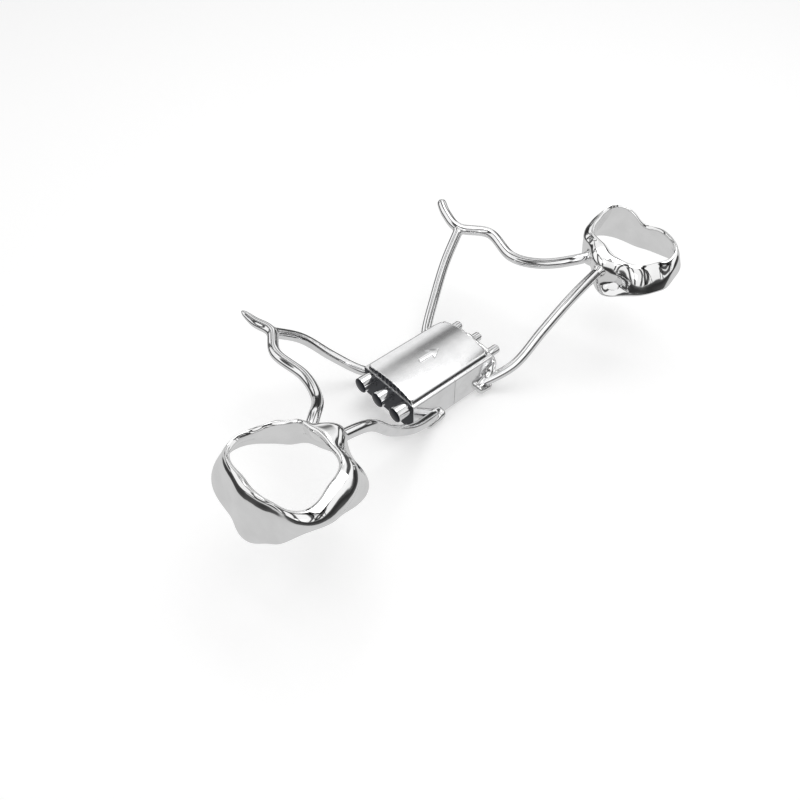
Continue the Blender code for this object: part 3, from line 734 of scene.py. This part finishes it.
# how solder wets a joint: a film on both metals that fades out, and a hollow fillet between them
solderSizes = {
    "voxel": 0.055,
    "film": 0.035,
    "sink": 0.11,
    "lumps": 0.05,
    "lumpSize": 0.9,
    "steepness": 4.0,
    "threshold": 0.5,
    "margin": 1.08,  # size of the worked space, in reaches
    "joint": {"Reach": 1.7, "Fillet": 0.8},
    "branch": {"Reach": 1.3, "Fillet": 0.6},
    "inside": 0.3,  # how far the wire is followed into the wall
    "overlap": 1.001,  # each stretch of wire is searched a little past its end
    "fineReach": 2.6,  # a run with more reach gets larger voxels
    "rounds": 3,
    "sharpFrom": 120.0,
}


def solderTree():
    tree, sockets, start = openTree("solderFillet", {
        "Wall": "Object", "Wire": "Object", "Centre": "Vector", "Reach": "Float", "Fillet": "Float",
        "Wire Radius": "Float", "Lumps": "Float", "Voxel": "Float", "Finish": "Material"})
    s = solderSizes
    centre, reach = start["Centre"], start["Reach"]
    here = addNode(tree, "GeometryNodeInputPosition", {}).outputs[0]

    def maths(operation, *values):
        return mathNode(tree, operation, *values)

    def nearness(label, element):
        info = addNode(tree, "GeometryNodeObjectInfo", {"Object": start[label]}).outputs["Geometry"]
        return addNode(tree, "GeometryNodeProximity", {0: info}, target_element=element).outputs["Distance"]

    away = addNode(tree, "ShaderNodeVectorMath", {0: here, 1: centre}, operation="DISTANCE").outputs["Value"]
    lumps = addNode(tree, "ShaderNodeTexNoise", {
        "Vector": here, "Scale": s["lumpSize"], "Detail": 1.0}).outputs["Fac"]
    lump = maths("MULTIPLY", maths("SUBTRACT", lumps, 0.5), start["Lumps"])
    faded = maths("MULTIPLY_ADD", maths("DIVIDE", away, reach), -(s["film"] + s["sink"]), s["film"])
    film = maths("ADD", faded, lump)
    overWire = maths("SUBTRACT", maths("SUBTRACT", nearness("Wire", "EDGES"), start["Wire Radius"]), film)
    overWall = maths("SUBTRACT", nearness("Wall", "FACES"), film)
    both = maths("SMOOTH_MIN", overWire, overWall, start["Fillet"])
    kept = maths("MAXIMUM", both, maths("SUBTRACT", away, reach))
    density = maths("MULTIPLY_ADD", kept, -s["steepness"], s["threshold"])
    count = maths("DIVIDE", maths("MULTIPLY", reach, 2 * s["margin"]), start["Voxel"])
    spread = addNode(tree, "ShaderNodeCombineXYZ", {"X": reach, "Y": reach, "Z": reach}).outputs[0]
    margin = addNode(tree, "ShaderNodeVectorMath", {0: spread, "Scale": s["margin"]}, operation="SCALE")
    low, high = (addNode(tree, "ShaderNodeVectorMath", {0: centre, 1: margin.outputs[0]},
                         operation=operation).outputs[0] for operation in ("SUBTRACT", "ADD"))
    cloud = addNode(tree, "GeometryNodeVolumeCube", {
        "Density": density, "Min": low, "Max": high, "Resolution X": count, "Resolution Y": count,
        "Resolution Z": count}).outputs["Volume"]
    skin = addNode(tree, "GeometryNodeVolumeToMesh", {"Volume": cloud, "Threshold": s["threshold"]})
    closeTree(tree, start, skin.outputs["Mesh"])
    return tree, sockets


solderNodes, solderSockets = solderTree()


# solder round a line and where the line meets a wall; lengths in mm, the wall in metres
def runSolder(name, line, centre, wall, body, sizes):
    wallMesh = wall.copy()
    wallMesh.transform(Matrix.Scale(1 / mm, 4))
    wallObject = addObject(name + "Wall", wallMesh)
    wireObject = addObject(name + "Line", lineMesh("wireLine", line))
    work = addObject(name + "Work", bpy.data.meshes.new("work"))
    inputs = {"Wall": wallObject, "Wire": wireObject, "Centre": centre, "Finish": finishes["solder"]}
    mesh = runTree(work, solderNodes, solderSockets, {**inputs, **sizes}, wallObject, wireObject)
    bm = bmesh.new()
    bm.from_mesh(mesh)
    bmesh.ops.scale(bm, vec=(mm, mm, mm), verts=bm.verts)
    for _ in range(solderSizes["rounds"]):
        bmesh.ops.smooth_vert(bm, verts=bm.verts, factor=0.5, use_axis_x=True, use_axis_y=True,
                              use_axis_z=True)
    addPiece(name, closeMesh(bm, name, solderSizes["sharpFrom"]), "solder", body)


# finds where a wire enters a wall and solders it there
def solderJoint(name, points, wall, body, kind="joint"):
    s = solderSizes
    tree = treeOf(wall)
    for k, (a, b) in enumerate(zip(points, points[1:])):
        direction = (b - a).normalized()
        place = tree.ray_cast(a * mm, direction, (b - a).length * mm * s["overlap"])[0]
        if place is not None:
            hit = place / mm
            line = points[:k + 1] + [hit, hit + direction * s["inside"]]
            sizes = {"Wire Radius": wireSizes["radius"], "Lumps": s["lumps"], "Voxel": s["voxel"], **s[kind]}
            runSolder(name, line, hit, wall, body, sizes)
            return
    print("expander: no wall for", name)


# the uneven brazing on the screw: lines in mm, each with what the solder's node group is given
brazes = {
    "far_braze_web": {
        "side": 1,
        "sizes": {"Reach": 2.6, "Fillet": 0.5, "Wire Radius": 0.5, "Lumps": 0.4},
        "line": ((4.6, 3.75, -14.5), (5.3, 3.6, -13.9), (5.9, 3.65, -13.1), (6.5, 4.0, -12.3),
                 (6.9, 4.6, -11.8)),
    },
    "far_braze_foot": {
        "side": 1,
        "sizes": {"Reach": 1.6, "Fillet": 0.4, "Wire Radius": 0.74, "Lumps": 0.25},
        "line": ((5.1, 3.4, -14.5), (4.3, 3.6, -14.6)),
    },
    "near_braze_foot": {
        "side": -1,
        "sizes": {"Reach": 2.2, "Fillet": 0.5, "Wire Radius": 0.68, "Lumps": 0.3},
        "line": ((-4.6, 3.5, -14.5), (-3.4, 3.6, -14.5), (-2.5, 3.7, -14.5)),
    },
    "far_braze_edge": {
        "side": 1,
        "sizes": {"Reach": 4.4, "Fillet": 0.35, "Wire Radius": 0.3, "Lumps": 0.6},
        "line": ((6.0, 12.4, -10.45), (6.1, 10.9, -10.2), (6.15, 9.6, -10.05), (6.1, 8.5, -9.98),
                 (6.15, 7.2, -10.08), (6.2, 6.0, -10.2), (6.35, 4.8, -10.4)),
    },
}


def brazeScrew(side, wall, body):
    for name, braze in brazes.items():
        if braze["side"] == side:
            line = [Vector(point) for point in braze["line"]]
            voxel = solderSizes["voxel"] * max(1.0, braze["sizes"]["Reach"] / solderSizes["fineReach"])
            runSolder(name, line, line[len(line) // 2], wall, body, {"Voxel": voxel, **braze["sizes"]})


screwSizes = {
    "forward": 8.5,
    "axis": -11.7,
    "length": 13.2,
    "top": -10.55,
    "base": -15.05,
    "frontWall": 13.05,
    "rearWall": 3.95,
    "rounding": 0.3,
    "cornerRadius": 1.2,  # the far front corner
    "squareEdge": 0.05,  # the near end is cut square
    "sharpFrom": 25.0,
    "seam": 0.025,
    "spacing": 3.15,
    "seatFilm": 0.03,
    "pocketEnd": 2.89,
    "pocketRoom": 1.75,
    "window": (0.685, 2.095),  # the key's window in the front wall
    "windowTop": 0.85,  # below the axis
    "past": 1,  # how far a cutter runs on
    "endSquareness": 0.97,
}

guideSizes = {
    "tubeRadius": 0.97,
    "tubeEnd": -8.45,
    "tubeEdge": ((0.0, 0.16), (0.03, 0.07), (0.1, 0.0)),  # (mm from the end, mm inside the radius)
    "endSquareness": 0.4,
    "blindEnd": -7.7,
    "boreRadius": 0.65,
    "pinRadius": 0.6,
    "pinStart": -7.45,
    "pinChamfer": 0.3,  # of the radius
    "domeDepth": 0.6,  # of the radius
    "domeTurns": (0, 0.25, 0.5, 0.75, 1.0, 1.2, 1.4),
    "frontTip": 1.8,
    "rearTip": 2.2,
    "sides": 72,
}


def turnedMesh(name, profile, y, sides, sharp=35.0):
    bm = bmesh.new()
    rings = []
    for x, radius in profile:
        turn = [math.tau * k / sides for k in range(sides)]
        rings.append([Vector((x, y + radius * math.cos(a), screwSizes["axis"] + radius * math.sin(a)))
                      for a in turn])
    skinRings(bm, rings)
    return closeMesh(bm, name, sharp)


def blockMesh(name, low, high):
    bm = bmesh.new()
    bmesh.ops.create_cube(bm, size=1.0)
    for vert in bm.verts:
        vert.co = Vector([low[i] if vert.co[i] < 0 else high[i] for i in range(3)]) * mm
    return closeMesh(bm, name)


def halfBody(side):
    s, g = screwSizes, guideSizes
    word = sideWords[side]
    end = s["length"] / 2
    nearEnd = (end - s["rounding"]) * mm  # vertices past this lie at the outer end
    bm = bmesh.new()
    bmesh.ops.create_cube(bm, size=1.0)
    for vert in bm.verts:
        vert.co.x = side * (s["seam"] if vert.co.x * side < 0 else end) * mm
        vert.co.y = (s["frontWall"] if vert.co.y > 0 else s["rearWall"]) * mm
        vert.co.z = (s["top"] if vert.co.z > 0 else s["base"]) * mm
    if side > 0:
        corner = [e for e in bm.edges
                  if all(v.co.x > nearEnd and v.co.y > s["forward"] * mm for v in e.verts)]
        bevelEdges(bm, corner, s["cornerRadius"], 8)
    # all edges but those of the seam, and on the near half only those that run along the screw
    rounded = [e for e in bm.edges if max(abs(v.co.x) for v in e.verts) > s["seam"] * 2 * mm
               and e.calc_face_angle() > math.radians(s["sharpFrom"])
               and (side > 0 or min(v.co.x for v in e.verts) != max(v.co.x for v in e.verts))]
    bevelEdges(bm, rounded, s["rounding"], 5)
    if side < 0:
        bevelEdges(bm, [e for e in bm.edges if all(v.co.x < -nearEnd for v in e.verts)], s["squareEdge"], 2)
    mesh = closeMesh(bm, word + "Body", s["sharpFrom"])
    for k in (-1, 0, 1):
        y = s["forward"] + k * s["spacing"]
        radius = (g["tubeRadius"] if side < 0 else g["pinRadius"]) + s["seatFilm"]
        if side > 0 and k == 0:
            radius = g["boreRadius"]
        ends = sorted((-side * s["past"], side * (end + s["past"])))
        mesh = cutWith(mesh, turnedMesh("bore", [(x, radius) for x in ends], y, g["sides"]))
    if side > 0:
        room, below = s["pocketRoom"], s["base"] - s["past"]
        pocket = blockMesh("pocket", (-s["past"], s["forward"] - room, below),
                           (s["pocketEnd"], s["forward"] + room, s["top"] + s["past"]))
        mesh = cutWith(mesh, pocket)
        window = blockMesh("keyWindow", (s["window"][0], s["forward"], below),
                           (s["window"][1], s["frontWall"] + s["past"], s["axis"] - s["windowTop"]))
        mesh = cutWith(mesh, window)
    mesh.name = word + "Body"
    # painted shade on the outer end of each half, a dark colour standing in for its dark reflection and shade
    markPaintedDarkEnds(mesh, s["endSquareness"], end - s["rounding"])  # the faces between the halves stay bright
    mesh.shade_smooth()
    mesh.set_sharp_from_angle(angle=math.radians(s["sharpFrom"]))
    piece = addPiece(word + "_half_machined", mesh, "screw", word + "_side", (word + "_half_body",))
    weights = piece.modifiers.new("evenFaces", "WEIGHTED_NORMAL")
    weights.keep_sharp = True
    return mesh


def guideTubes():
    g, s = guideSizes, screwSizes
    for name, k in (("guide_tube_rear", -1), ("spindle_nut_tube", 0), ("guide_tube_front", 1)):
        r = g["tubeRadius"]
        y = s["forward"] + k * s["spacing"]
        outside = [(g["tubeEnd"] + along, r - inset) for along, inset in g["tubeEdge"]] + [(-s["seam"], r)]
        tube = turnedMesh(name, outside, y, g["sides"])
        bore = [(x, g["boreRadius"]) for x in (g["blindEnd"], s["past"])]
        mesh = cutWith(tube, turnedMesh("drill", bore, y, g["sides"]))
        # painted shade on the tube ends and their chamfers, a dark colour standing in for their dark
        # reflection and shade
        markPaintedDarkEnds(mesh, g["endSquareness"])
        addPiece(name + "_polished", mesh, "screw", "near_side", (name,))


def guidePins():
    g, s = guideSizes, screwSizes
    r = g["pinRadius"]
    deep, chamfer = r * g["domeDepth"], g["pinChamfer"]
    for name, k, tip in (("guide_pin_rear", -1, g["rearTip"]), ("guide_pin_front", 1, g["frontTip"])):
        start = s["length"] / 2 + tip - deep
        outline = [(g["pinStart"], r * (1 - chamfer)), (g["pinStart"] + r * chamfer, r)]
        outline += [(start + deep * math.sin(a), r * math.cos(a)) for a in g["domeTurns"]]
        mesh = turnedMesh(name, outline, s["forward"] + k * s["spacing"], g["sides"])
        addPiece(name + "_polished", mesh, "screw", "far_side", (name,))


plateSizes = {
    "near": -6.56,
    "far": 6.25,
    "width": 8.4,
    "thickness": 0.45,
    "underside": -10.5,
    "seat": 0.02,  # the rim lies this far above the screw
    "crown": 0.6,
    "corners": {(-1, -1): 0.35, (-1, 1): 0.7, (1, -1): 0.7, (1, 1): 1.7},  # (near or far, rear or front)
    "mostCorner": 0.985,  # share of a corner's arc that is used
    "sideLean": 0.27,  # the side faces lean in towards the top
    "edge": 0.09,
    "edgeFrom": 40.0,  # edges sharper than this are rounded
    "sharpFrom": 30.0,
    "rows": 56,
    "columns": 90,
    "scallop": 0.16,
    "scallops": 3.0,
    "ragged": 0.05,  # the near end is left rough from the cut
    "ragging": ((9.0, 0.0, 0.5), (21.0, 1.3, 0.3), (37.0, 0.0, 0.2)),  # waves: (pace, start, share)
    "endSquareness": 0.8,
}


def plateHeight(y):
    s = plateSizes
    return s["underside"] + s["crown"] * (1 - ((y - screwSizes["forward"]) / (s["width"] / 2)) ** 2)


def plateEnd(which, y):
    s = plateSizes
    halfW = s["width"] / 2
    corner = s["corners"][which, 1 if y > 0 else -1]
    over = min(max(0.0, (abs(y) - (halfW - corner)) / corner), s["mostCorner"])
    back = corner * (1 - math.sqrt(1 - over ** 2))
    if which > 0:
        notch = s["scallop"] * (0.5 - 0.5 * math.cos(math.pi * s["scallops"] * (y / halfW + 1)))
        return s["far"] - back - notch * (1 - over)
    rough = sum(share * math.sin(y * pace + start) for pace, start, share in s["ragging"])
    return s["near"] + back + s["ragged"] * (1 + rough) * (1 - over)


# the vertices round the rim of a grid, in order
def gridRim(grid):
    return (grid[0] + [row[-1] for row in grid[1:]] + grid[-1][-2::-1]
            + [row[0] for row in reversed(grid[1:-1])])


def coverPlate():
    s, middle = plateSizes, screwSizes["forward"]
    bm = bmesh.new()
    top, under = [], []
    narrowing = (s["width"] / 2 - s["sideLean"]) / (s["width"] / 2)
    for j in range(s["rows"] + 1):
        y = (j / s["rows"] * 2 - 1) * s["width"] / 2
        near, far = plateEnd(-1, y), plateEnd(1, y)
        high = plateHeight(middle + y) + s["thickness"]
        for grid, x0, x1, across, z in ((under, near, far, y, screwSizes["top"] + s["seat"]),
                                        (top, near, far - s["sideLean"], y * narrowing, high)):
            places = [x0 + (x1 - x0) * k / s["columns"] for k in range(s["columns"] + 1)]
            grid.append([bm.verts.new(Vector((x, middle + across, z)) * mm) for x in places])
    for grid in (top, under):
        for low, high in zip(grid, grid[1:]):
            joinRows(bm, low, high, False)
    joinRows(bm, gridRim(top), gridRim(under))
    bmesh.ops.recalc_face_normals(bm, faces=bm.faces)
    sharp = [e for e in bm.edges if e.calc_face_angle() > math.radians(s["edgeFrom"])]
    bevelEdges(bm, sharp, s["edge"], 4)
    mesh = closeMesh(bm, "coverPlate", s["sharpFrom"])
    # painted shade on the plate's near end, a dark colour standing in for its dark reflection and shade
    markPaintedDarkEnds(mesh, s["endSquareness"], 0.0, (-1,))
    addPiece("cover_plate_polished", mesh, "screw", "far_side", ("cover_plate",))


# the raised arrow that shows which way the screw opens
arrowSizes = {
    "middle": (-0.15, 8.4),
    "outline": ((-1.7, -0.36), (0.2, -0.36), (0.1, -0.9), (1.7, 0.0), (0.1, 0.9), (0.2, 0.36), (-1.7, 0.36)),
    "rise": 0.16,
    "sunk": 0.3,
    "soft": 0.1,
    "sharpFrom": 50.0,
}


def openingArrow():
    s = arrowSizes
    bm = bmesh.new()
    rings = []
    for lift in (-s["sunk"], s["rise"]):
        places = [(s["middle"][0] + x, s["middle"][1] + y) for x, y in s["outline"]]
        rings.append([(x, y, plateHeight(y) + plateSizes["thickness"] + lift) for x, y in places])
    skinRings(bm, rings)
    bmesh.ops.recalc_face_normals(bm, faces=bm.faces)
    halfWay = max(v.co.z for v in bm.verts) - (s["rise"] + s["sunk"]) / 2 * mm
    bevelEdges(bm, [e for e in bm.edges if all(v.co.z > halfWay for v in e.verts)], s["soft"], 3)
    addPiece("opening_arrow", closeMesh(bm, "openingArrow", s["sharpFrom"]), "screw", "far_side")


spindleSizes = {
    "start": -7.45,
    "core": 0.47,
    "startTaper": (0.75, 0.15),  # share of the core left at the start, mm to the full core
    "crest": 0.6,
    "lead": 0.8,
    "ridge": 0.13,
    "ridgeSides": 6,
    "threadSteps": 32,
    "bare": (0.35, 0.25),  # mm without thread at the start, and at the head
    "collar": 0.2,
    "headStart": 0.29,
    "headEnd": 2.49,
    "headRadius": 1.5,
    "headEdge": 0.1,  # of its radius
    "headSoft": 0.3,  # of that edge
    "keyHole": 0.425,
    "keySides": 32,
    "tip": 8.6,
    "tipEdge": ((0.15, 0.0), (0.04, 0.05), (0.0, 0.15)),
    "slotWidth": 0.3,
    "slotDepth": 0.45,
    "sharpFrom": 30.0,
}


def threadTree():
    tree, sockets, start = openTree("twoStartThread", {
        "Turns": "Float", "Length": "Float", "Ridge Radius": "Float", "Ridge Size": "Float",
        "Finish": "Material"})
    helix = addNode(tree, "GeometryNodeCurveSpiral", {
        "Resolution": spindleSizes["threadSteps"], "Rotations": start["Turns"], "Height": start["Length"],
        "Start Radius": start["Ridge Radius"], "End Radius": start["Ridge Radius"]}).outputs["Curve"]
    ridge = addNode(tree, "GeometryNodeCurvePrimitiveCircle", {
        "Resolution": spindleSizes["ridgeSides"], "Radius": start["Ridge Size"]}).outputs["Curve"]
    first = addNode(tree, "GeometryNodeCurveToMesh", {
        "Curve": helix, "Profile Curve": ridge, "Fill Caps": True}).outputs["Mesh"]
    second = addNode(tree, "GeometryNodeTransform", {"Geometry": first, "Rotation": (0.0, 0.0, math.pi)})
    join = addNode(tree, "GeometryNodeJoinGeometry", {0: first})
    tree.links.new(second.outputs["Geometry"], join.inputs[0])
    closeTree(tree, start, join.outputs["Geometry"])
    return tree, sockets


def spindleThread():
    s = spindleSizes
    length = s["headStart"] - s["bare"][1] - s["start"] - s["bare"][0]
    holder = addObject("threadWork", bpy.data.meshes.new("threadWork"))
    mesh = runTree(holder, *threadTree(), {
        "Turns": length / s["lead"], "Length": length * mm, "Ridge Radius": (s["crest"] - s["ridge"]) * mm,
        "Ridge Size": s["ridge"] * mm, "Finish": finishes["screw"]})
    place = Vector((s["start"] + s["bare"][0], screwSizes["forward"], screwSizes["axis"])) * mm
    mesh.transform(Matrix.Translation(place) @ Matrix.Rotation(math.pi / 2, 4, "Y"))
    return mesh


def expansionSpindle():
    s, f = spindleSizes, screwSizes
    core, crest, head, tip = s["core"], s["crest"], s["headRadius"], s["tip"]
    start, end = s["headStart"], s["headEnd"]
    edge = head * s["headEdge"]
    soft = edge * s["headSoft"]
    outline = [
        (s["start"], core * s["startTaper"][0]), (s["start"] + s["startTaper"][1], core),
        (start - s["collar"], core), (start - s["collar"], crest), (start, crest),
        (start, head - edge), (start + soft, head - soft), (start + edge, head),
        (end - edge, head), (end - soft, head - soft), (end, head - edge), (end, crest),
    ]
    outline += [(tip - along, crest - inset) for along, inset in s["tipEdge"]]
    mesh = turnedMesh("spindle", outline, f["forward"], guideSizes["sides"], s["sharpFrom"])
    centre = Vector(((start + end) / 2, f["forward"], f["axis"]))
    first = Vector((1, 0, 0))
    for along in (Vector((0, 1, 0)), Vector((0, 0, 1))):
        second = along.cross(first)
        turns = [math.tau * k / s["keySides"] for k in range(s["keySides"])]
        bm = bmesh.new()
        skinRings(bm, [[centre + along * reach + (first * math.cos(a) + second * math.sin(a)) * s["keyHole"]
                        for a in turns] for reach in (-2 * head, 2 * head)])
        mesh = cutWith(mesh, closeMesh(bm, "keyDrill"))
    half, wide = s["slotWidth"] / 2, 2 * f["past"]
    slot = blockMesh("slot", (tip - s["slotDepth"], f["forward"] - wide, f["axis"] - half),
                     (tip + f["past"], f["forward"] + wide, f["axis"] + half))
    mesh = cutWith(mesh, slot)
    bm = bmesh.new()
    bm.from_mesh(mesh)
    bm.from_mesh(spindleThread())
    mesh = closeMesh(bm, "expansionSpindle", s["sharpFrom"])
    addPiece("expansion_spindle_threaded", mesh, "screw", "spindle", ("expansion_spindle",))


setCamera()
lightStudio()
layFloor()
print("expander: studio set")

for side in (-1, 1):
    word = sideWords[side]
    body = word + "_side"
    molarBand(side)
    outside = bandPlug(side)
    halfMesh = halfBody(side)
    bar = cutWith(sweepWire(word + "Bar", barRoute(side), True, wireSizes["tipShare"][side]), outside)
    front = sweepWire(word + "FrontArm", frontRoute(side))
    rear = cutWith(sweepWire(word + "RearArm", rearRoute(side)), outside)
    for mesh, piece, node in ((bar, "bar", "lingual_bar"), (front, "front_arm", "front_arm"),
                              (rear, "rear_arm", "rear_arm")):
        mesh.shade_smooth()
        addPiece(word + "_" + piece + "_polished", mesh, "wire", body, (word + "_" + node,))
    barPoints, rearPoints, frontPoints = (smoothRoute(route(side), wireSizes["spacing"])
                                          for route in (barRoute, rearRoute, frontRoute))
    for name, points, wall, kind in (("bar", barPoints, outside, "joint"),
                                     ("rear", rearPoints[::-1], outside, "joint"),
                                     ("foot_rear", rearPoints, halfMesh, "joint"),
                                     ("foot_front", frontPoints, halfMesh, "joint"),
                                     ("branch", frontPoints[::-1], bar, "branch")):
        solderJoint(word + "_solder_" + name, points, wall, body, kind)
    brazeScrew(side, halfMesh, body)
print("expander: bands and wires made")

guideTubes()
guidePins()
coverPlate()
openingArrow()
expansionSpindle()
for name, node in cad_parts.items():
    if not node.hide_render:
        node.data.materials.clear()
        node.data.materials.append(finishes["screw"])
print("expander: screw made")
